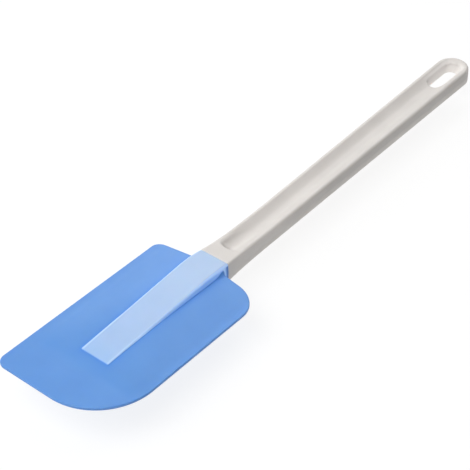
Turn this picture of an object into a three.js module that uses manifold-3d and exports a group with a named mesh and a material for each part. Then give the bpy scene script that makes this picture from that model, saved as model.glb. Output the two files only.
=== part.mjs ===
// Silicone spatula: a blue silicone blade pushed onto the tang of an off-white plastic handle.
// Millimetres, +Z up. X runs across the blade, +Y towards the hanging end of the handle.
// The handle's underside lies on Z = 0, with the origin under the middle of the whole length.

import * as THREE from 'three';
import { mergeVertices } from 'three/addons/utils/BufferGeometryUtils.js';
import Module from 'manifold-3d';

// Fits
const CLEARANCE = 0.3;

// Tang, hidden inside the blade
const TANG_LENGTH = 85.3;
const TANG_TIP_WIDTH = 13.6;
const TANG_ROOT_WIDTH = 15.2;
const TANG_TIP_THICKNESS = 1.8;
const TANG_EMBED = 4;

// Handle
const HANDLE_LENGTH = 226.1;
const HANDLE_HEIGHT = 10;
const GRIP_NECK_WIDTH = 16.4;
const GRIP_END_WIDTH = 19.2;
const NECK_LENGTH = 26;
const NECK_RISE = 1.7;
const RIM_WIDTH = 2.6;
const RECESS_START = 9;
const RECESS_DEPTH = 3.1;
const RECESS_SLOPE_WIDTH = 2.4;
const RECESS_FLOOR_CORNER = 0.8;
const SLOT_LENGTH = 25.8;
const LOOP_WALL = 4.9;

// Blade plate
const BLADE_WIDTH = 69;
const TIP_REACH = 31.9;
const PLATE_THICKNESS = 1.6;
const TIP_CORNER_RADIUS = 5.5;
const TIP_ROUND_RADIUS = 33;
const SHOULDER_CORNER_RADIUS = 5;
const SHOULDER_ROUND_RADIUS = 14;
const SHOULDER_CORNER_SETBACK = 3.7;
const SHOULDER_ROUND_SETBACK = 5;
const SHOULDER_FALL = 0.5;
const BLADE_LIFT = 2;

// Wedge round the tang, and the swell of the plate beside it
const MOUTH_WALL = 1.2;
const SIDE_WALL = 1.6;
const END_WALL = 0.8;
const CREST_WALL = 2.9;
const CREST_SETBACK = 9;
const SWELL_HEIGHT = 3.1;
const SWELL_EASE = 0.7;
const THIN_EDGE = 3;

// Bend of the free end
const BEND_SETBACK = 3.5;

// Colours
const OFF_WHITE = 0xe6e1dc;
const BLUE = 0x6fa0e6;

// Sizes that follow from the ones above
const midHeight = HANDLE_HEIGHT / 2;
const bladeLength = TANG_LENGTH + TIP_REACH;
const lift = THREE.MathUtils.degToRad(BLADE_LIFT);
const mouthTop = midHeight + NECK_RISE;
const mouthHalf = TANG_ROOT_WIDTH / 2 + CLEARANCE + MOUTH_WALL;
const tangRootTop = mouthTop - MOUTH_WALL - CLEARANCE;
const tangRootBottom = -(midHeight - MOUTH_WALL - CLEARANCE);
const mouthGap = CLEARANCE + mouthTop * Math.sin(lift);
const endRadius = GRIP_END_WIDTH / 2;
const endCentre = HANDLE_LENGTH - endRadius;
const slotRadius = endRadius - LOOP_WALL;
const wedgeEnd = TANG_LENGTH + CLEARANCE + END_WALL;
const wedgeEndTop = TANG_TIP_THICKNESS / 2 + CLEARANCE + END_WALL;
const wedgeRamp = wedgeEndTop - PLATE_THICKNESS / 2;
const bendY = -(wedgeEnd + wedgeRamp + BEND_SETBACK);
const beyond = 2 * Math.max(bladeLength, HANDLE_LENGTH);
const CURVE_STEPS = 8;

// The blade frame is set at the mouth, and lifts the tip by a small angle
const bladeFrame = new THREE.Matrix4().makeRotationX(-lift).setPosition(0, 0, midHeight);

const wasm = await Module();
wasm.setup();

// Closed geometry to a solid that can be joined and cut
function solid(geometry) {
  geometry.deleteAttribute('normal');
  geometry.deleteAttribute('uv');
  const merged = mergeVertices(geometry, 1e-4);
  const vertProperties = new Float32Array(merged.attributes.position.array);
  const triVerts = new Uint32Array(merged.index.array);
  return new wasm.Manifold(new wasm.Mesh({ numProp: 3, vertProperties, triVerts }));
}

function geometryOf(body) {
  const { vertProperties, triVerts } = body.getMesh();
  const geometry = new THREE.BufferGeometry();
  geometry.setAttribute('position', new THREE.BufferAttribute(vertProperties, 3));
  geometry.setIndex(new THREE.BufferAttribute(triVerts, 1));
  return geometry;
}

function meshOf(name, body, color, roughness) {
  const geometry = geometryOf(body);
  geometry.computeVertexNormals();
  const material = new THREE.MeshStandardMaterial({ color, roughness, metalness: 0 });
  const mesh = new THREE.Mesh(geometry, material);
  mesh.name = name;
  return mesh;
}

function outline(points) {
  return new THREE.Shape(points.map(([a, b]) => new THREE.Vector2(a, b)));
}

// A plan outline in X and Y, raised from one height to another
function raise(shape, bottom, top) {
  const geometry = new THREE.ExtrudeGeometry(shape, {
    depth: top - bottom, bevelEnabled: false, curveSegments: CURVE_STEPS,
  });
  return solid(geometry.translate(0, 0, bottom));
}

// A side outline in Y and Z, drawn out across X both ways
function drawAcross(shape) {
  const geometry = new THREE.ExtrudeGeometry(shape, {
    depth: 2 * beyond, bevelEnabled: false, curveSegments: CURVE_STEPS,
  });
  const turn = new THREE.Matrix4().makeBasis(
    new THREE.Vector3(0, 1, 0), new THREE.Vector3(0, 0, 1), new THREE.Vector3(1, 0, 0),
  );
  return solid(geometry.applyMatrix4(turn).translate(-beyond, 0, 0));
}

// A section in X and Z, drawn out along Y both ways
function drawAlong(shape) {
  const geometry = new THREE.ExtrudeGeometry(shape, { depth: 2 * beyond, bevelEnabled: false });
  const turn = new THREE.Matrix4().makeBasis(
    new THREE.Vector3(1, 0, 0), new THREE.Vector3(0, 0, 1), new THREE.Vector3(0, -1, 0),
  );
  return solid(geometry.applyMatrix4(turn).translate(0, beyond, 0));
}

// Blade frame: Y = 0 at the mouth of the socket, Z = 0 on the middle of the plate

function along(root, tip, y) {
  return root + (tip - root) * (-y / TANG_LENGTH);
}

function tangHalf(y) {
  return along(TANG_ROOT_WIDTH / 2, TANG_TIP_WIDTH / 2, y);
}

function tangTop(y) {
  return along(tangRootTop, TANG_TIP_THICKNESS / 2, y);
}

function tangBottom(y) {
  return along(tangRootBottom, -TANG_TIP_THICKNESS / 2, y);
}

// The tang, or its socket when it is grown by the clearance
function tang(grow) {
  const near = TANG_EMBED;
  const far = -TANG_LENGTH;
  const plan = outline([
    [-tangHalf(far) - grow, far - grow],
    [tangHalf(far) + grow, far - grow],
    [tangHalf(near) + grow, near],
    [-tangHalf(near) - grow, near],
  ]);
  const side = outline([
    [far - grow, tangBottom(far) - grow],
    [near, tangBottom(near) - grow],
    [near, tangTop(near) + grow],
    [far - grow, tangTop(far) + grow],
  ]);
  return raise(plan, -beyond, beyond).intersect(drawAcross(side));
}

function platePlan() {
  const left = -BLADE_WIDTH / 2;
  const right = BLADE_WIDTH / 2;
  const tip = -bladeLength;
  const squareEdge = -SHOULDER_CORNER_SETBACK;
  const roundInner = -SHOULDER_ROUND_SETBACK;
  const roundOuter = roundInner - SHOULDER_FALL;
  const quarter = Math.PI / 2;
  const corner = TIP_CORNER_RADIUS;
  const round = TIP_ROUND_RADIUS;
  const squareShoulder = SHOULDER_CORNER_RADIUS;
  const roundShoulder = SHOULDER_ROUND_RADIUS;
  const plan = new THREE.Shape();
  plan.moveTo(left + corner, tip);
  plan.lineTo(right - round, tip);
  plan.absarc(right - round, tip + round, round, -quarter, 0);
  plan.lineTo(right, roundOuter - roundShoulder);
  plan.absarc(right - roundShoulder, roundOuter - roundShoulder, roundShoulder, 0, quarter);
  plan.lineTo(mouthHalf, roundInner);
  plan.lineTo(-mouthHalf, squareEdge);
  plan.lineTo(left + squareShoulder, squareEdge);
  plan.absarc(
    left + squareShoulder, squareEdge - squareShoulder, squareShoulder, quarter, 2 * quarter,
  );
  plan.lineTo(left, tip + corner);
  plan.absarc(left + corner, tip + corner, corner, 2 * quarter, 3 * quarter);
  return plan;
}

function wedgeHalf(y) {
  return tangHalf(y) + CLEARANCE + SIDE_WALL;
}

// The wedge climbs from the tang's end to a crest, then drops to meet the neck at the mouth
function wedge() {
  const crest = -CREST_SETBACK;
  const foot = -wedgeEnd - wedgeRamp;
  const crestTop = tangTop(crest) + CLEARANCE + CREST_WALL;
  const climb = (crestTop - wedgeEndTop) / (wedgeEnd - CREST_SETBACK);
  const plan = outline([
    [-wedgeHalf(-wedgeEnd), foot],
    [wedgeHalf(-wedgeEnd), foot],
    [wedgeHalf(crest), crest],
    [mouthHalf, 0],
    [-mouthHalf, 0],
    [-wedgeHalf(crest), crest],
  ]);
  const side = new THREE.Shape();
  side.moveTo(foot, -PLATE_THICKNESS / 2);
  side.lineTo(-wedgeEnd, -wedgeEndTop);
  side.lineTo(0, -midHeight);
  side.lineTo(0, mouthTop);
  side.quadraticCurveTo(crest, crestTop, 2 * crest, crestTop - climb * CREST_SETBACK);
  side.lineTo(-wedgeEnd, wedgeEndTop);
  side.lineTo(foot, PLATE_THICKNESS / 2);
  return raise(plan, -beyond, beyond).intersect(drawAcross(side));
}

// The plate swells from the tang's end to the mouth, and falls away from the wedge to its thin edges
function swell() {
  const thin = PLATE_THICKNESS / 2;
  const thick = thin + SWELL_HEIGHT;
  const foot = wedgeHalf(0);
  const edge = BLADE_WIDTH / 2 - THIN_EDGE;
  const ease = wedgeEnd * SWELL_EASE;
  const section = outline([
    [-edge, -thin],
    [-foot, -thick],
    [foot, -thick],
    [edge, -thin],
    [edge, thin],
    [foot, thick],
    [-foot, thick],
    [-edge, thin],
  ]);
  const side = new THREE.Shape();
  side.moveTo(-wedgeEnd, -thin);
  side.quadraticCurveTo(-ease, -thick, 0, -thick);
  side.lineTo(0, thick);
  side.quadraticCurveTo(-ease, thick, -wedgeEnd, thin);
  return drawAlong(section).intersect(drawAcross(side)).intersect(raise(platePlan(), -thick, thick));
}

// Everything on the tip's side of the bend, ending in a half round about the bend's axis
function tipSide(radius) {
  const side = new THREE.Shape();
  side.moveTo(bendY, -beyond);
  side.lineTo(bendY, -radius);
  side.absarc(bendY, 0, radius, -Math.PI / 2, Math.PI / 2);
  side.lineTo(bendY, beyond);
  side.lineTo(-beyond, beyond);
  side.lineTo(-beyond, -beyond);
  return drawAcross(side);
}

function plate() {
  return raise(platePlan(), -PLATE_THICKNESS / 2, PLATE_THICKNESS / 2);
}

function blade() {
  const moulding = plate().add(wedge()).add(swell()).subtract(tang(CLEARANCE));
  return moulding.subtract(tipSide(PLATE_THICKNESS / 2 + CLEARANCE));
}

function bladeTip() {
  return plate().intersect(tipSide(PLATE_THICKNESS / 2));
}

// Handle frame: Y = 0 at the mouth of the socket, Z = 0 under the handle

function gripHalf(y) {
  const share = (y - NECK_LENGTH) / (endCentre - NECK_LENGTH);
  return (GRIP_NECK_WIDTH + (GRIP_END_WIDTH - GRIP_NECK_WIDTH) * share) / 2;
}

function gripBlank() {
  const plan = new THREE.Shape();
  plan.moveTo(-mouthHalf, mouthGap);
  plan.lineTo(mouthHalf, mouthGap);
  plan.quadraticCurveTo(gripHalf(NECK_LENGTH / 2), NECK_LENGTH / 2, gripHalf(NECK_LENGTH), NECK_LENGTH);
  plan.lineTo(endRadius, endCentre);
  plan.absarc(0, endCentre, endRadius, 0, Math.PI);
  plan.lineTo(-gripHalf(NECK_LENGTH), NECK_LENGTH);
  plan.quadraticCurveTo(-gripHalf(NECK_LENGTH / 2), NECK_LENGTH / 2, -mouthHalf, mouthGap);
  const side = new THREE.Shape();
  side.moveTo(0, 0);
  side.lineTo(HANDLE_LENGTH, 0);
  side.lineTo(HANDLE_LENGTH, HANDLE_HEIGHT);
  side.lineTo(NECK_LENGTH, HANDLE_HEIGHT);
  side.quadraticCurveTo(NECK_LENGTH / 2, HANDLE_HEIGHT, 0, HANDLE_HEIGHT + NECK_RISE);
  return raise(plan, -beyond, beyond).intersect(drawAcross(side));
}

// Channel between the rims, with sloping sides
function recess() {
  const start = RECESS_START;
  const half = gripHalf(start) - RIM_WIDTH;
  const radius = endRadius - RIM_WIDTH;
  const corner = RECESS_SLOPE_WIDTH + RECESS_FLOOR_CORNER;
  const quarter = Math.PI / 2;
  const plan = new THREE.Shape();
  plan.moveTo(-half + corner, start);
  plan.lineTo(half - corner, start);
  plan.absarc(half - corner, start + corner, corner, -quarter, 0);
  plan.lineTo(radius, endCentre);
  plan.absarc(0, endCentre, radius, 0, 2 * quarter);
  plan.lineTo(-half, start + corner);
  plan.absarc(-half + corner, start + corner, corner, 2 * quarter, 3 * quarter);
  return new THREE.ExtrudeGeometry(plan, {
    depth: RECESS_DEPTH + NECK_RISE,
    bevelThickness: RECESS_DEPTH,
    bevelSize: RECESS_SLOPE_WIDTH,
    bevelOffset: -RECESS_SLOPE_WIDTH,
    bevelSegments: 1,
    curveSegments: CURVE_STEPS,
  });
}

function hangingSlot() {
  const near = endCentre + 2 * slotRadius - SLOT_LENGTH;
  const plan = new THREE.Shape();
  plan.moveTo(slotRadius, near);
  plan.lineTo(slotRadius, endCentre);
  plan.absarc(0, endCentre, slotRadius, 0, Math.PI);
  plan.lineTo(-slotRadius, near);
  plan.absarc(0, near, slotRadius, Math.PI, 2 * Math.PI);
  return raise(plan, -beyond, beyond);
}

function handle() {
  const upper = solid(recess().translate(0, 0, HANDLE_HEIGHT));
  const lower = solid(recess().rotateY(Math.PI));
  const tangInHandle = solid(geometryOf(tang(0)).applyMatrix4(bladeFrame));
  const grip = gripBlank().subtract(upper).subtract(lower).subtract(hangingSlot());
  return grip.add(tangInHandle);
}

const spatula = new THREE.Group();
spatula.position.y = (bladeLength * Math.cos(lift) - HANDLE_LENGTH) / 2;

const bladeGroup = new THREE.Group();
bladeGroup.applyMatrix4(bladeFrame);
bladeGroup.add(meshOf('blade', blade(), BLUE, 0.5));
bladeGroup.add(meshOf('blade_tip', bladeTip(), BLUE, 0.5));

spatula.add(meshOf('handle', handle(), OFF_WHITE, 0.45));
spatula.add(bladeGroup);

export default spatula;
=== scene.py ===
import math

import bpy
import numpy as np
from mathutils import Matrix, Vector


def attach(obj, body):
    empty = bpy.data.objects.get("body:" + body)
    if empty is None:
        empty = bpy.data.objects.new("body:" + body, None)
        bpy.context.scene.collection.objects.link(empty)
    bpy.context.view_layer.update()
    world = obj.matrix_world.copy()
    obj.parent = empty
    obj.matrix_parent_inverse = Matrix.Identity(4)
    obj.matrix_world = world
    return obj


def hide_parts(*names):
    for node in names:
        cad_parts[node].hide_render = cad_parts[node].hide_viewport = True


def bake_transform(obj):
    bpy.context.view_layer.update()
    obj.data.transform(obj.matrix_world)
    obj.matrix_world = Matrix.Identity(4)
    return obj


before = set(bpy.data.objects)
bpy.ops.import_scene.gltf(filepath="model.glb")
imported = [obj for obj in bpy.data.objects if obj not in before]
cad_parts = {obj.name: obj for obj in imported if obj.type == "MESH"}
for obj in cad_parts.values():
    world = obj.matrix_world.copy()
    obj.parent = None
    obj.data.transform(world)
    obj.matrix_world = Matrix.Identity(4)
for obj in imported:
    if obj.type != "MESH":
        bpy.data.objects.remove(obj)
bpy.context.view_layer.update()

MM = 0.001

# Sizes in millimetres, as in the solids
CLEARANCE = 0.3
TANG_LENGTH = 85.3
TANG_TIP_HALF = 6.8
TANG_ROOT_HALF = 7.6
TANG_TIP_THICKNESS = 1.8
TANG_EMBED = 4.0
HANDLE_LENGTH = 226.1
HANDLE_HEIGHT = 10.0
GRIP_NECK_HALF = 8.2
GRIP_END_HALF = 9.6
NECK_LENGTH = 26.0
NECK_RISE = 1.7
RIM_WIDTH = 2.6
RECESS_START = 9.0
RECESS_DEPTH = 3.1
RECESS_SLOPE_WIDTH = 2.4
SLOT_LENGTH = 25.8
LOOP_WALL = 4.9
BLADE_HALF = 34.5
BLADE_LENGTH = 117.2
PLATE_HALF = 0.8
TIP_CORNER_RADIUS = 5.5
TIP_ROUND_RADIUS = 33.0
SHOULDER_CORNER_RADIUS = 5.0
SHOULDER_ROUND_RADIUS = 14.0
SHOULDER_CORNER_SETBACK = 3.7
SHOULDER_ROUND_SETBACK = 5.0
SHOULDER_FALL = 0.5
MOUTH_WALL = 1.2
SIDE_WALL = 1.6
END_WALL = 0.8
CREST_WALL = 2.9
CREST_SETBACK = 9.0
SWELL_HEIGHT = 3.1
SWELL_EASE = 0.7
THIN_EDGE = 3.0
BLADE_LIFT = math.radians(2.0)

MID_HEIGHT = HANDLE_HEIGHT / 2
MOUTH_TOP = MID_HEIGHT + NECK_RISE
MOUTH_HALF = TANG_ROOT_HALF + CLEARANCE + MOUTH_WALL
TANG_ROOT_TOP = MOUTH_TOP - MOUTH_WALL - CLEARANCE
TANG_ROOT_BOTTOM = -(MID_HEIGHT - MOUTH_WALL - CLEARANCE)
END_CENTRE = HANDLE_LENGTH - GRIP_END_HALF
SLOT_RADIUS = GRIP_END_HALF - LOOP_WALL
SLOT_NEAR = END_CENTRE + 2 * SLOT_RADIUS - SLOT_LENGTH
WEDGE_FOOT_HALF = TANG_ROOT_HALF + CLEARANCE + SIDE_WALL
WEDGE_END = TANG_LENGTH + CLEARANCE + END_WALL
WEDGE_END_TOP = TANG_TIP_THICKNESS / 2 + CLEARANCE + END_WALL
STRIP_END = TANG_LENGTH + END_WALL
CHANNEL_START = RECESS_START + RECESS_SLOPE_WIDTH / 2
MOUTH_Y = (BLADE_LENGTH * math.cos(BLADE_LIFT) - HANDLE_LENGTH) / 2

# Softness of the handle's edges
RIM_OUTER_ROUND = 2.5
RIM_INNER_ROUND = 2.6
RIM_EASE_LENGTH = 25.0
NECK_EDGE_ROUND = 0.8
FLARE_LIMIT = 1.2
UNDER_ROUND = 0.3
CHANNEL_END_ROUND = 0.9
CHANNEL_END_LEAN = 0.2
CHANNEL_END_CORNER = 3.2
CHANNEL_FILLET = 2.4
SLOT_DRAFT = 0.18
SLOT_END_DRAFT = 0.7
SLOT_ROUND = 0.4
SLOT_TOP_ROUND = 1.0
SLOT_ROUND_EASE = 1.0
SEAM_HEIGHT = 2.6
SEAM_PROUD = 0.14
SEAM_SPREAD = 0.6
SIDE_DRAFT = 0.012
SIDE_PROUD = 0.24
SIDE_EASE = 4.0
TANG_ROUND = 0.5
TANG_FILLET = 0.3
MOUTH_GAP = 0.15
MOUTH_ROUND = 0.4

# Softness of the blade's edges
PLATE_ROUND = 0.4
SWELL_OVERRUN = 10.0
SWELL_EDGE_BLEND = 0.3
SWELL_END_BLEND = 0.25
SWELL_FADE = 0.2
CREASE_ROUND = 0.8
SHOULDER_FILLET = 2.2
SHOULDER_FILLET_SPREAD = 3.5
SHOULDER_FILLET_EASE = 0.5
WEDGE_EDGE_ROUND = 0.4
WEDGE_EDGE_GROWTH = 1.0
WEDGE_END_ROUND = 0.4
WALL_DRAFT = 0.06
WALL_PROUD = 0.05
WALL_PROUD_FADE = (-7.0, -1.0)
END_SLIM = 0.4
END_SLOPE = math.radians(60.0)
LIP_PROUD = 0.1
LIP_SPREAD = 0.9
CREST_TRIM = 0.01
SOCKET_ROUND = 0.15

# Where the painted light inside the loop and the painted shade on the grip's sides change on the
# handle, from and to
LOOP_LIGHT_RIM = (-0.2, 0.8)
LOOP_LIGHT_ALONG = (SLOT_NEAR - 8.0, SLOT_NEAR + 2.0)
SIDE_SHADE = (-0.6, -0.1)
SIDE_SHADE_BOTTOM = (3.0, 4.5)
SIDE_SHADE_TOP = (7.8, 9.4)
SIDE_SHADE_ALONG = (30.0, 90.0)

# Where the tints change on the blade, from and to; among them the walls' painted light, the edges'
# painted highlight, the painted glow in the walls and the painted shade in the crease at the wedge's
# foot
WEDGE_TINT = (0.0, 0.4)
LIP_TINT_ALONG = (-3.0, -1.2)
LIP_TINT_DOWN = (0.5, 1.5)
EDGE_HIGHLIGHT_ACROSS = (-1.1, -0.3)
EDGE_HIGHLIGHT_DOWN = (0.4, 1.6)
PAINTED_GLOW_DOWN = (0.0, 0.6)
STRIP_FADE = 0.9
STRIP_FADE_GROWTH = 2.2
FOOT_SHADE_START = 0.3
FOOT_SHADE_SPREAD = 1.6

# Grid lines as (start, end, spacing), closer where a surface turns
HANDLE_GRID_ACROSS = ((0, 2.4, 0.6), (2.4, 10.4, 0.26))
HANDLE_GRID_ALONG = (
    (-TANG_LENGTH - 1, -TANG_LENGTH + 2, 0.25),
    (-TANG_LENGTH + 2, -1.6, 2.0),
    (-1.6, 16, 0.32),
    (16, NECK_LENGTH, 0.7),
    (NECK_LENGTH, SLOT_NEAR - 10, 2.0),
    (SLOT_NEAR - 10, HANDLE_LENGTH + 0.8, 0.34),
)
HANDLE_GRID_UP = ((-0.57, 2.03, 0.2), (2.03, 3.35, 0.12), (3.35, 12.6, 0.25))
BLADE_GRID_ACROSS = ((0, 6.6, 0.6), (6.6, 11.1, 0.25), (11.1, 33, 0.6), (33, 35.1, 0.2))
BLADE_GRID_ALONG = (
    (-BLADE_LENGTH - 0.6, -BLADE_LENGTH + 1.3, 0.2),
    (-BLADE_LENGTH + 1.3, -STRIP_END - 2, 0.6),
    (-STRIP_END - 2, -STRIP_END + 1.6, 0.2),
    (-STRIP_END + 1.6, -15, 0.8),
    (-15, 0.8, 0.25),
)
BLADE_GRID_UP = ((-5.6, -1.4, 0.28), (-1.4, 1.4, 0.18), (1.4, 8.6, 0.28))

# How far apart slopes are measured, and how points are moved onto a surface
SLOPE_STEP = 0.02
STEEPNESS_STEP = 0.1
SETTLE_ROUNDS = 5
SETTLE_LIMIT = 0.3
LEAST_SLOPE = 0.05

# Colours, as pairs that a cloudy tint runs between, or single ones
PLASTIC = ((0.655, 0.625, 0.600), (0.690, 0.660, 0.632))
# Painted shade: a darker plastic for the upper part of the grip's sides
PLASTIC_SHADED_SIDE = ((0.557, 0.531, 0.510), (0.587, 0.561, 0.537))
# Painted light: a paler plastic and a glow for the steep walls inside the loop, standing in for light
# bounced about and passed through its thin walls
PLASTIC_PAINTED_LIGHT = (0.80, 0.77, 0.745)
PLASTIC_PAINTED_GLOW = (0.06, 0.057, 0.055)
# The blue is lighter towards the mouth than at the tip: painted light, standing in for the sheen on
# the plate near the shoulders
BLUE_TIP = ((0.104, 0.278, 0.645), (0.115, 0.297, 0.670))
BLUE_ROOT = ((0.128, 0.307, 0.690), (0.142, 0.328, 0.715))
# Painted shade: a deeper blue in the crease at the wedge's foot
BLUE_CREASE_SHADE = ((0.067, 0.238, 0.665), (0.075, 0.253, 0.690))
# Partly the silicone's colour over the tang, partly painted light: a lighter blue that makes up for
# the shade on the wedge's walls
BLUE_WALL_PAINTED_LIGHT = ((0.290, 0.580, 0.960), (0.310, 0.610, 0.980))
STRIP_TIP = ((0.355, 0.510, 0.775), (0.390, 0.545, 0.805))
STRIP_ROOT = ((0.415, 0.555, 0.775), (0.450, 0.585, 0.800))
# Painted highlight along the wedge's top edges
STRIP_EDGE_HIGHLIGHT = (0.48, 0.67, 0.95)
# Painted glow in the wedge's walls, standing in for light passing through the silicone
BLUE_PAINTED_GLOW = (0.085, 0.145, 0.31)
PAPER = ((0.145, 0.145, 0.145), (0.155, 0.155, 0.155))
BLACK = (0.0, 0.0, 0.0)
OPAQUE_WHITE = (1.0, 1.0, 1.0, 1.0)

# Floor and lights in metres and watts: name, direction, size and power of each light
FLOOR_REACH = 60.0
FLOOR_LEVEL = -0.0142
LIGHT_DISTANCE = 1.6
LIGHTS = (
    ("front", (0, -0.5, 0.87), 1.2, 17.0),
    ("left", (-0.6, -0.6, 0.9), 1.2, 11.0),
    ("back", (0, 0.5, 0.87), 1.2, 7.3),
    ("low", (-0.66, 0.55, 0.48), 1.0, 5.5),
)
AMBIENT = 0.01

# Camera in millimetres, with the focal length and the image in pixels
CAMERA_AZIMUTH = math.radians(40.61)
CAMERA_ELEVATION = math.radians(40.66)
CAMERA_ROLL = math.radians(-1.77)
CAMERA_DISTANCE = 745.31
CAMERA_AIM = Vector((-7.29, -29.36, 5.0))
CAMERA_NEAREST = 10.0
SENSOR_WIDTH = 36.0
FOCAL_PIXELS = 1451.04
IMAGE_PIXELS = 470


def between(first, second, share):
    return first + (second - first) * share


def smooth_step(low, high, value):
    """Share from 0 at low to 1 at high, level at both ends."""
    share = np.clip((value - low) / (high - low), 0, 1)
    return share * share * (3 - 2 * share)


def hump(value, spread):
    """Share that is 1 where the value is 0 and falls away over the spread."""
    return np.exp(-((value / spread) ** 2))


def round_max(a, b, radius):
    """Larger of two fields, with the edge where they meet rounded."""
    u = np.maximum(a + radius, 0)
    v = np.maximum(b + radius, 0)
    return np.hypot(u, v) + np.minimum(np.maximum(a, b) + radius, 0) - radius


def round_min(a, b, radius):
    """Smaller of two fields, with the corner where they meet filled."""
    return -round_max(-a, -b, radius)


def soft_min(a, b, reach):
    """Smaller of two values, with an even change from one to the other."""
    gap = np.maximum(reach - np.abs(a - b), 0)
    return np.minimum(a, b) - gap * gap / (4 * reach)


# Surfaces of fields, which are negative inside a piece


def runs(*stretches):
    """Grid lines over stretches of (start, end, spacing) that follow each other."""
    lines = [np.linspace(a, b, max(1, round((b - a) / s)), endpoint=False) for a, b, s in stretches]
    return np.append(np.concatenate(lines), stretches[-1][1])


def both_sides(*stretches):
    """The same lines on either side of the middle."""
    lines = runs(*stretches)
    return np.concatenate((-lines[:0:-1], lines))


def cross_edges(value, grid, axis):
    """Which of the grid's edges along an axis cross the surface, where, and which start inside."""
    low = tuple(slice(0, -1) if k == axis else slice(None) for k in range(3))
    high = tuple(slice(1, None) if k == axis else slice(None) for k in range(3))
    starts_inside = value[low] < 0
    crossed = starts_inside != (value[high] < 0)
    step = np.where(crossed, value[low] - value[high], 1)
    share = np.where(crossed, value[low] / step, 0)[..., None]
    point = grid[low] + share * (grid[high] - grid[low])
    return crossed, np.where(crossed[..., None], point, 0), starts_inside


def edge_quads(number, axis, crossed, starts_inside):
    """One quad round each crossed edge, between its four cells' points, that faces outwards."""
    first, second = [k for k in range(3) if k != axis]
    where = np.argwhere(crossed)
    for k in (first, second):
        where = where[(where[:, k] > 0) & (where[:, k] < number.shape[k])]
    corners = []
    for i, j in ((1, 1), (0, 1), (0, 0), (1, 0)):
        cell = where.copy()
        cell[:, first] -= i
        cell[:, second] -= j
        corners.append(number[tuple(cell.T)])
    quads = np.stack(corners, 1)
    outward = starts_inside[tuple(where.T)] != (axis == 1)
    quads[~outward] = quads[~outward][:, ::-1]
    return quads


def settle(field, points):
    """Points moved along the field's slope onto its surface."""
    for _ in range(SETTLE_ROUNDS):
        slope = np.empty_like(points)
        for k in range(3):
            shift = np.zeros(3)
            shift[k] = SLOPE_STEP
            slope[:, k] = (field(*(points + shift).T) - field(*(points - shift).T)) / (2 * SLOPE_STEP)
        size = np.maximum((slope * slope).sum(1), LEAST_SLOPE)
        move = field(*points.T)[:, None] * slope / size[:, None]
        points = points - np.clip(move, -SETTLE_LIMIT, SETTLE_LIMIT)
    return points


def polygonise(field, xs, ys, zs):
    """Points and closed quads of a field's surface, with one point in each cell that it crosses."""
    x, y, z = np.meshgrid(xs, ys, zs, indexing="ij")
    value = field(x, y, z)
    grid = np.stack((x, y, z), -1)
    cells = tuple(n - 1 for n in value.shape)
    total = np.zeros(cells + (3,))
    count = np.zeros(cells)
    crossings = []
    for axis in range(3):
        crossed, point, starts_inside = cross_edges(value, grid, axis)
        first, second = [k for k in range(3) if k != axis]
        for i, j in np.ndindex(2, 2):
            part = [slice(None)] * 3
            part[first] = slice(i, cells[first] + i)
            part[second] = slice(j, cells[second] + j)
            total += point[tuple(part)]
            count += crossed[tuple(part)]
        crossings.append((axis, crossed, starts_inside))
    used = count > 0
    number = np.full(cells, -1)
    number[used] = np.arange(used.sum())
    points = total[used] / count[used][:, None]
    quads = [edge_quads(number, *crossing) for crossing in crossings]
    return settle(field, points), np.concatenate(quads)


# Blade frame: Y = 0 at the mouth of the socket, Z = 0 on the middle of the plate


def along_tang(root, tip, y):
    return between(root, tip, -y / TANG_LENGTH)


def tang_half(y):
    return along_tang(TANG_ROOT_HALF, TANG_TIP_HALF, y)


def tang_field(x, y, z):
    """Flat tapering tongue, from inside the neck to its tip."""
    top = along_tang(TANG_ROOT_TOP, TANG_TIP_THICKNESS / 2, y)
    bottom = along_tang(TANG_ROOT_BOTTOM, -TANG_TIP_THICKNESS / 2, y)
    section = round_max(np.abs(x) - tang_half(y), np.maximum(z - top, bottom - z), TANG_ROUND)
    return round_max(section, np.maximum(-TANG_LENGTH - y, y - TANG_EMBED), TANG_ROUND)


def plan_field(x, y):
    """Outline of the plate, with its four different corners."""
    left = -BLADE_HALF - x
    right = x - BLADE_HALF
    tip = -BLADE_LENGTH - y
    fall = np.clip((x - MOUTH_HALF) / SHOULDER_ROUND_RADIUS, 0, 1)
    setback = np.where(x < 0, SHOULDER_CORNER_SETBACK, SHOULDER_ROUND_SETBACK)
    shoulder = y + setback + SHOULDER_FALL * fall
    tip_end = np.where(
        x < 0,
        round_max(left, tip, TIP_CORNER_RADIUS),
        round_max(right, tip, TIP_ROUND_RADIUS),
    )
    mouth_end = np.where(
        x < 0,
        round_max(left, shoulder, SHOULDER_CORNER_RADIUS),
        round_max(right, shoulder, SHOULDER_ROUND_RADIUS),
    )
    return np.where(y < -BLADE_LENGTH / 2, tip_end, mouth_end)


def plate_half(x, y):
    """Half the plate's thickness: thick beside the wedge, thin at the edges and the tip."""
    edge = BLADE_HALF - THIN_EDGE
    across = -soft_min((np.abs(x) - edge) / (edge - WEDGE_FOOT_HALF), 0, SWELL_EDGE_BLEND)
    reach = np.clip(-y / (WEDGE_END + SWELL_OVERRUN), 0, 1)
    bow = 2 * SWELL_EASE
    share = (bow - np.sqrt(bow * bow - 4 * (bow - 1) * reach)) / (2 * (bow - 1))
    lengthwise = 1 - share * share
    swell = np.maximum(soft_min(np.minimum(across, 1), lengthwise, SWELL_END_BLEND), 0)
    return PLATE_HALF + SWELL_HEIGHT * swell * smooth_step(0, SWELL_FADE, swell)


def near_mouth(y):
    """Share from 0 at the wedge's end to 1 at the mouth."""
    return np.clip(1 + y / WEDGE_END, 0, 1)


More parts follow.
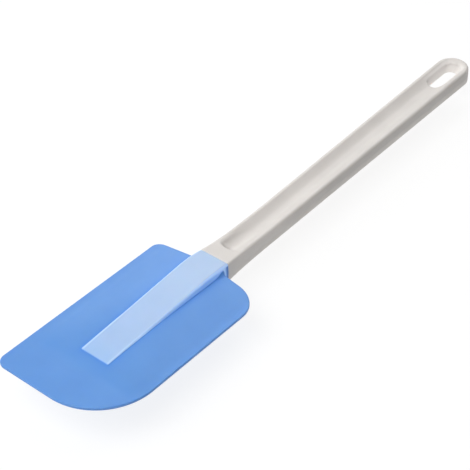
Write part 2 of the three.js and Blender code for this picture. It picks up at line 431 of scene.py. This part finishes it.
def wedge_half(y):
    """Half the wedge's width, which narrows to the mouth and ends in a fine lip."""
    lip = LIP_PROUD * hump(y + LIP_SPREAD, LIP_SPREAD)
    narrowing = (WEDGE_FOOT_HALF - MOUTH_HALF) * np.clip(1 + y / CREST_SETBACK, 0, 1)
    return tang_half(y) + CLEARANCE + SIDE_WALL - narrowing + lip


def wedge_top(y):
    """Height of the wedge, which climbs to a rounded crest and falls to the mouth."""
    crest = along_tang(TANG_ROOT_TOP, TANG_TIP_THICKNESS / 2, -CREST_SETBACK) + CLEARANCE + CREST_WALL
    climb = (crest - WEDGE_END_TOP) / (WEDGE_END - CREST_SETBACK)
    rise = WEDGE_END_TOP + climb * (y + WEDGE_END)
    t = np.clip(-y / (2 * CREST_SETBACK), 0, 1)
    cap = (1 - t) ** 2 * MOUTH_TOP + 2 * t * (1 - t) * crest + t * t * (crest - climb * CREST_SETBACK)
    return np.where(y < -2 * CREST_SETBACK, rise, cap)


def wedge_bottom(y):
    return -between(MID_HEIGHT, WEDGE_END_TOP, -y / WEDGE_END)


def wedge_drop(y, z):
    """Distance down from the wedge's nearer face."""
    return np.minimum(wedge_top(y) - z, z - wedge_bottom(y))


def wedge_field(x, y, z):
    """Thick tapering middle of the blade, before the socket is hollowed out."""
    proud = WALL_PROUD * (1 - smooth_step(*WALL_PROUD_FADE, y))
    proud = proud + WALL_DRAFT * np.maximum(wedge_drop(y, z), 0)
    side = np.abs(x) - wedge_half(y) - proud + END_SLIM * (1 - near_mouth(y))
    edge = WEDGE_EDGE_ROUND + WEDGE_EDGE_GROWTH * near_mouth(y)
    wedge = round_max(side, z - wedge_top(y) + CREST_TRIM, edge)
    wedge = round_max(wedge, wedge_bottom(y) - z, edge)
    end = (np.abs(z) - WEDGE_END_TOP) * math.cos(END_SLOPE) - (y + STRIP_END) * math.sin(END_SLOPE)
    wedge = round_max(wedge, end, WEDGE_END_ROUND)
    return round_max(wedge, y, MOUTH_ROUND)


def blade_field(x, y, z):
    """Plate and wedge in one, with the socket for the tang."""
    plate = round_max(plan_field(x, y), np.abs(z) - plate_half(x, y), PLATE_ROUND)
    at_shoulder = hump(y + SHOULDER_ROUND_SETBACK, SHOULDER_FILLET_SPREAD)
    at_shoulder = at_shoulder * smooth_step(-SHOULDER_FILLET_EASE, SHOULDER_FILLET_EASE, z)
    crease = CREASE_ROUND + SHOULDER_FILLET * at_shoulder
    moulding = round_min(plate, wedge_field(x, y, z), crease)
    socket = tang_field(x, y, z) - CLEARANCE
    return round_max(moulding, -socket, SOCKET_ROUND)


def blade_to_row(points):
    x, y, z = points.T
    row_y = y * math.cos(BLADE_LIFT) + z * math.sin(BLADE_LIFT) + MOUTH_Y
    row_z = z * math.cos(BLADE_LIFT) - y * math.sin(BLADE_LIFT) + MID_HEIGHT
    return np.stack((x, row_y, row_z), 1)


# Handle frame: Y = 0 at the mouth of the socket, Z = 0 under the handle


def grip_half(y):
    return between(GRIP_NECK_HALF, GRIP_END_HALF, (y - NECK_LENGTH) / (END_CENTRE - NECK_LENGTH))


def neck_flare(y):
    """Share from 0 past the neck to 1 at the mouth."""
    return np.clip(1 - y / NECK_LENGTH, 0, FLARE_LIMIT) ** 2


def handle_top(y):
    return HANDLE_HEIGHT + NECK_RISE * neck_flare(y)


def from_outline(x, y, half, inset):
    """Distance out from the grip's outline, or from a line inside it."""
    beside = np.abs(x) - half + inset
    round_end = np.hypot(x, y - END_CENTRE) - GRIP_END_HALF + inset
    return np.where(y < END_CENTRE, beside, round_end)


def channel_field(x, y, depth):
    """Channel sunk from a face, at a depth below that face."""
    sunk = np.maximum(depth, 0)
    slope = RECESS_SLOPE_WIDTH / RECESS_DEPTH
    side = (from_outline(x, y, grip_half(y), RIM_WIDTH) + slope * sunk) / math.hypot(1, slope)
    start = CHANNEL_START - y + CHANNEL_END_LEAN * sunk
    side = round_max(side, start, CHANNEL_END_CORNER)
    return round_max(side, depth - RECESS_DEPTH, CHANNEL_FILLET)


def slot_field(x, y, z):
    """Hanging slot, which narrows towards the underside."""
    half_web = MID_HEIGHT - RECESS_DEPTH
    drop = np.clip(MID_HEIGHT - z, -half_web, half_web)
    far = END_CENTRE - (SLOT_END_DRAFT - SLOT_DRAFT) * (drop + half_web)
    return np.hypot(x, y - np.clip(y, SLOT_NEAR, far)) - SLOT_RADIUS + SLOT_DRAFT * drop


def grip_field(x, y, z):
    """Grip and flared neck, before the channels and the slot are sunk."""
    half = grip_half(y) + (MOUTH_HALF - grip_half(0.0)) * neck_flare(y)
    seam = SEAM_PROUD * hump(z - SEAM_HEIGHT, SEAM_SPREAD)
    fuller = SIDE_PROUD * smooth_step(0, NECK_LENGTH, y) * smooth_step(0, HANDLE_HEIGHT, z)
    before_end = 1 - smooth_step(END_CENTRE - SIDE_EASE, END_CENTRE + SIDE_EASE, y)
    inset = SIDE_DRAFT * np.abs(z - SEAM_HEIGHT) - (seam + fuller) * before_end
    edge = between(NECK_EDGE_ROUND, RIM_OUTER_ROUND, smooth_step(0, 2 * NECK_LENGTH, y))
    grip = round_max(from_outline(x, y, half, inset), z - handle_top(y), edge)
    grip = round_max(grip, -z, UNDER_ROUND)
    lean = math.sin(BLADE_LIFT) * (z - MID_HEIGHT)
    return round_max(grip, MOUTH_GAP + lean - y, MOUTH_ROUND)


def handle_field(x, y, z):
    """Grip with its channels, slot and tang."""
    body = grip_field(x, y, z)
    past_start = smooth_step(CHANNEL_START, CHANNEL_START + RIM_EASE_LENGTH, y)
    inner = between(CHANNEL_END_ROUND, RIM_INNER_ROUND, past_start)
    for depth in (handle_top(y) - z, z):
        body = round_max(body, -channel_field(x, y, depth), inner)
    high = smooth_step(MID_HEIGHT - SLOT_ROUND_EASE, MID_HEIGHT + SLOT_ROUND_EASE, z)
    body = round_max(body, -slot_field(x, y, z), between(SLOT_ROUND, SLOT_TOP_ROUND, high))
    up = z - MID_HEIGHT
    blade_y = y * math.cos(BLADE_LIFT) - up * math.sin(BLADE_LIFT)
    blade_z = y * math.sin(BLADE_LIFT) + up * math.cos(BLADE_LIFT)
    return round_min(body, tang_field(x, blade_y, blade_z), TANG_FILLET)


# Meshes, with the shares that the materials read


def add_object(name, data):
    thing = bpy.data.objects.new(name, data)
    bpy.context.scene.collection.objects.link(thing)
    return thing


def new_mesh(name, points, quads, shares):
    """Smooth-shaded object from points in millimetres in the row frame."""
    mesh = bpy.data.meshes.new(name)
    mesh.from_pydata((points * MM).tolist(), [], quads.tolist())
    mesh.polygons.foreach_set("use_smooth", np.ones(len(quads), bool))
    mesh.update()
    place = mesh.attributes.new("place", "FLOAT_VECTOR", "POINT")
    place.data.foreach_set("vector", (points * MM).astype(np.float32).ravel())
    for share, values in shares.items():
        made = mesh.attributes.new(share, "FLOAT", "POINT")
        made.data.foreach_set("value", values.astype(np.float32))
    return add_object(name, mesh)


def handle_shares(x, y, z):
    """Painted light on the thin, steep walls inside the loop, and painted shade on the upper part of
    the grip's sides.
    """
    inside_rim = smooth_step(*LOOP_LIGHT_RIM, -from_outline(x, y, grip_half(y), RIM_WIDTH))
    rise = handle_field(x + STEEPNESS_STEP, y, z) - handle_field(x - STEEPNESS_STEP, y, z)
    steep = np.clip(np.abs(rise) / (2 * STEEPNESS_STEP), 0, 1)
    beside = smooth_step(*SIDE_SHADE, from_outline(x, y, grip_half(y), 0))
    upper = smooth_step(*SIDE_SHADE_BOTTOM, z) * (1 - smooth_step(*SIDE_SHADE_TOP, z))
    return {
        # Painted light on the steep walls inside the loop
        "loop_light": inside_rim * steep * smooth_step(*LOOP_LIGHT_ALONG, y),
        # Painted shade on the upper part of the grip's sides
        "side_shade": beside * upper * smooth_step(*SIDE_SHADE_ALONG, y),
    }


def blade_shares(x, y, z):
    """The wedge's walls with their painted light, its pale face over the tang, painted highlight on
    its edges, painted glow in it, and painted shade in the crease at its foot.
    """
    from_wedge = wedge_field(x, y, z)
    nearness = near_mouth(y)
    drop = wedge_drop(y, z)
    at_lip = smooth_step(*LIP_TINT_ALONG, y) * smooth_step(*LIP_TINT_DOWN, drop)
    on_wedge = (1 - smooth_step(*WEDGE_TINT, from_wedge)) * (1 - at_lip)
    # Painted highlight along the wedge's top edges
    past_edge = np.abs(x) - wedge_half(y) + END_SLIM * (1 - nearness)
    edge_highlight = smooth_step(*EDGE_HIGHLIGHT_ACROSS, past_edge) * (1 - smooth_step(*EDGE_HIGHLIGHT_DOWN, drop))
    return {
        "on_wedge": on_wedge,
        "over_tang": on_wedge * (1 - smooth_step(0, STRIP_FADE + STRIP_FADE_GROWTH * nearness, drop)),
        "edge_highlight": on_wedge * edge_highlight,
        # Painted glow down the wedge's walls
        "painted_glow": on_wedge * smooth_step(*PAINTED_GLOW_DOWN, drop),
        # Painted shade, fading out from the crease at the wedge's foot
        "foot_shade": np.exp(-np.maximum(from_wedge - FOOT_SHADE_START, 0) / FOOT_SHADE_SPREAD),
        "near_mouth": nearness,
    }


def make_handle():
    points, quads = polygonise(
        handle_field,
        both_sides(*HANDLE_GRID_ACROSS),
        runs(*HANDLE_GRID_ALONG),
        runs(*HANDLE_GRID_UP),
    )
    row_points = points + np.array((0, MOUTH_Y, 0))
    return new_mesh("handle_moulding", row_points, quads, handle_shares(*points.T))


def make_blade():
    points, quads = polygonise(
        blade_field,
        both_sides(*BLADE_GRID_ACROSS),
        runs(*BLADE_GRID_ALONG),
        runs(*BLADE_GRID_UP),
    )
    return new_mesh("blade_moulding", blade_to_row(points), quads, blade_shares(*points.T))


# Materials


def set_sockets(node, values):
    for name, value in values.items():
        node.inputs[name].default_value = value


def new_material(name):
    material = bpy.data.materials.new(name)
    material.use_nodes = True
    tree = material.node_tree
    return material, tree, tree.nodes["Principled BSDF"]


def attribute(tree, name, output="Fac"):
    node = tree.nodes.new("ShaderNodeAttribute")
    node.attribute_name = name
    return node.outputs[output]


def noise(tree, place, scale, detail):
    """Noise that stays put on the piece."""
    node = tree.nodes.new("ShaderNodeTexNoise")
    set_sockets(node, {"Scale": scale, "Detail": detail})
    tree.links.new(place, node.inputs["Vector"])
    return node.outputs["Fac"]


def speckle(tree, place, scale, low, high):
    """Noise spread over a range of values."""
    node = tree.nodes.new("ShaderNodeMapRange")
    set_sockets(node, {"From Min": 0.3, "From Max": 0.7, "To Min": low, "To Max": high})
    tree.links.new(noise(tree, place, scale, detail=3.0), node.inputs["Value"])
    return node.outputs["Result"]


def mix_colour(tree, share, first, second):
    """Mix of two colours, each given as a value or as another node's output."""
    mix = tree.nodes.new("ShaderNodeMix")
    mix.data_type = "RGBA"
    tree.links.new(share, mix.inputs["Factor"])
    for colour, socket in ((first, mix.inputs["A"]), (second, mix.inputs["B"])):
        if isinstance(colour, tuple):
            socket.default_value = colour + (1,)
        else:
            tree.links.new(colour, socket)
    return mix.outputs["Result"]


def grain(tree, place, shader, scale, strength):
    """Fine moulded texture of the surface."""
    node = tree.nodes.new("ShaderNodeBump")
    set_sockets(node, {"Strength": strength, "Distance": 0.0002})
    tree.links.new(noise(tree, place, scale, detail=4.0), node.inputs["Height"])
    tree.links.new(node.outputs["Normal"], shader.inputs["Normal"])


def plastic():
    material, tree, shader = new_material("off_white_plastic")
    place = attribute(tree, "place", "Vector")
    cloud = speckle(tree, place, scale=60, low=0, high=1)
    plain = mix_colour(tree, cloud, *PLASTIC)
    # The darker plastic on the upper part of the grip's sides is painted shade
    side = mix_colour(tree, cloud, *PLASTIC_SHADED_SIDE)
    tone = mix_colour(tree, attribute(tree, "side_shade"), plain, side)
    # The paler plastic and the glow inside the loop are painted light
    loop_light = attribute(tree, "loop_light")
    tone = mix_colour(tree, loop_light, tone, PLASTIC_PAINTED_LIGHT)
    glow = mix_colour(tree, loop_light, BLACK, PLASTIC_PAINTED_GLOW)
    tree.links.new(tone, shader.inputs["Base Color"])
    tree.links.new(glow, shader.inputs["Emission Color"])
    tree.links.new(speckle(tree, place, scale=350, low=0.36, high=0.46), shader.inputs["Roughness"])
    set_sockets(shader, {
        "Emission Strength": 1.0,
        "IOR": 1.49,
        "Specular IOR Level": 0.15,
        "Subsurface Weight": 0.4,
        "Subsurface Radius": (1.0, 0.95, 0.9),
        "Subsurface Scale": 0.002,
    })
    grain(tree, place, shader, scale=2200, strength=0.12)
    return material


def silicone():
    material, tree, shader = new_material("blue_silicone")
    place = attribute(tree, "place", "Vector")
    cloud = speckle(tree, place, scale=45, low=0, high=1)
    nearness = attribute(tree, "near_mouth")
    tip, root, crease_shade, wall, strip_tip, strip_root = [
        mix_colour(tree, cloud, *pair)
        for pair in (BLUE_TIP, BLUE_ROOT, BLUE_CREASE_SHADE, BLUE_WALL_PAINTED_LIGHT, STRIP_TIP, STRIP_ROOT)
    ]
    # Lighter blue towards the mouth: painted light
    blue = mix_colour(tree, nearness, tip, root)
    strip = mix_colour(tree, nearness, strip_tip, strip_root)
    # Painted shade in the crease at the wedge's foot
    tone = mix_colour(tree, attribute(tree, "foot_shade"), blue, crease_shade)
    # The wedge's walls get a lighter blue: partly the silicone over the tang, partly painted light
    tone = mix_colour(tree, attribute(tree, "on_wedge"), tone, wall)
    tone = mix_colour(tree, attribute(tree, "over_tang"), tone, strip)
    # Painted highlight along the wedge's top edges
    tone = mix_colour(tree, attribute(tree, "edge_highlight"), tone, STRIP_EDGE_HIGHLIGHT)
    # Painted glow in the wedge's walls: an emission, though the blade is no lamp
    glow = mix_colour(tree, attribute(tree, "painted_glow"), BLACK, BLUE_PAINTED_GLOW)
    tree.links.new(tone, shader.inputs["Base Color"])
    tree.links.new(glow, shader.inputs["Emission Color"])
    tree.links.new(speckle(tree, place, scale=300, low=0.36, high=0.46), shader.inputs["Roughness"])
    set_sockets(shader, {
        "Emission Strength": 1.0,
        "IOR": 1.41,
        "Subsurface Weight": 0.3,
        "Subsurface Radius": (0.3, 0.6, 1.0),
        "Subsurface Scale": 0.002,
    })
    grain(tree, place, shader, scale=1800, strength=0.1)
    return material


def paper():
    material, tree, shader = new_material("pale_floor")
    place = tree.nodes.new("ShaderNodeTexCoord").outputs["Object"]
    cloud = speckle(tree, place, scale=3, low=0, high=1)
    tree.links.new(mix_colour(tree, cloud, *PAPER), shader.inputs["Base Color"])
    set_sockets(shader, {
        "Roughness": 0.9,
        "Specular IOR Level": 0.1,
        "Emission Color": OPAQUE_WHITE,
        "Emission Strength": 0.85,
    })
    return material


# Floor, light and camera


def make_floor():
    mesh = bpy.data.meshes.new("floor")
    corners = [(-1, -1), (1, -1), (1, 1), (-1, 1)]
    mesh.from_pydata([(FLOOR_REACH * x, FLOOR_REACH * y, 0) for x, y in corners], [], [(0, 1, 2, 3)])
    mesh.materials.append(paper())
    thing = add_object("floor", mesh)
    thing.location.z = FLOOR_LEVEL
    return thing


def area_light(name, direction, size, watts):
    """Square soft light that looks at the middle of the object."""
    lamp = bpy.data.lights.new(name, "AREA")
    lamp.energy = watts
    lamp.size = size
    thing = add_object(name, lamp)
    away = Vector(direction).normalized()
    thing.location = away * LIGHT_DISTANCE
    thing.rotation_euler = away.to_track_quat("Z", "Y").to_euler()


def make_world():
    world = bpy.data.worlds.new("studio")
    world.use_nodes = True
    set_sockets(world.node_tree.nodes["Background"], {"Color": OPAQUE_WHITE, "Strength": AMBIENT})
    bpy.context.scene.world = world
    bpy.context.scene.view_settings.view_transform = "Standard"
    bpy.context.scene.view_settings.look = "None"


def make_camera():
    """Camera at the photograph's viewing angle."""
    back = Vector((
        math.sin(CAMERA_AZIMUTH) * math.cos(CAMERA_ELEVATION),
        -math.cos(CAMERA_AZIMUTH) * math.cos(CAMERA_ELEVATION),
        math.sin(CAMERA_ELEVATION),
    ))
    level = Vector((math.cos(CAMERA_AZIMUTH), math.sin(CAMERA_AZIMUTH), 0))
    upright = back.cross(level)
    right = math.cos(CAMERA_ROLL) * level + math.sin(CAMERA_ROLL) * upright
    lens = bpy.data.cameras.new("camera")
    lens.sensor_width = SENSOR_WIDTH
    lens.lens = FOCAL_PIXELS / IMAGE_PIXELS * SENSOR_WIDTH
    lens.clip_start = CAMERA_NEAREST * MM
    camera = add_object("camera", lens)
    stand = Matrix((right, back.cross(right), back)).transposed().to_4x4()
    stand.translation = (CAMERA_AIM + CAMERA_DISTANCE * back) * MM
    camera.matrix_world = stand
    bpy.context.scene.camera = camera


# The two mouldings

handle = make_handle()
handle.data.materials.append(plastic())
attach(handle, "handle")
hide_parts("handle")

blade = make_blade()
blade.data.materials.append(silicone())
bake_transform(blade)
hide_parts("blade", "blade_tip")

# The studio round them

floor = make_floor()
for light in LIGHTS:
    area_light(*light)
make_world()
make_camera()

bpy.context.view_layer.update()
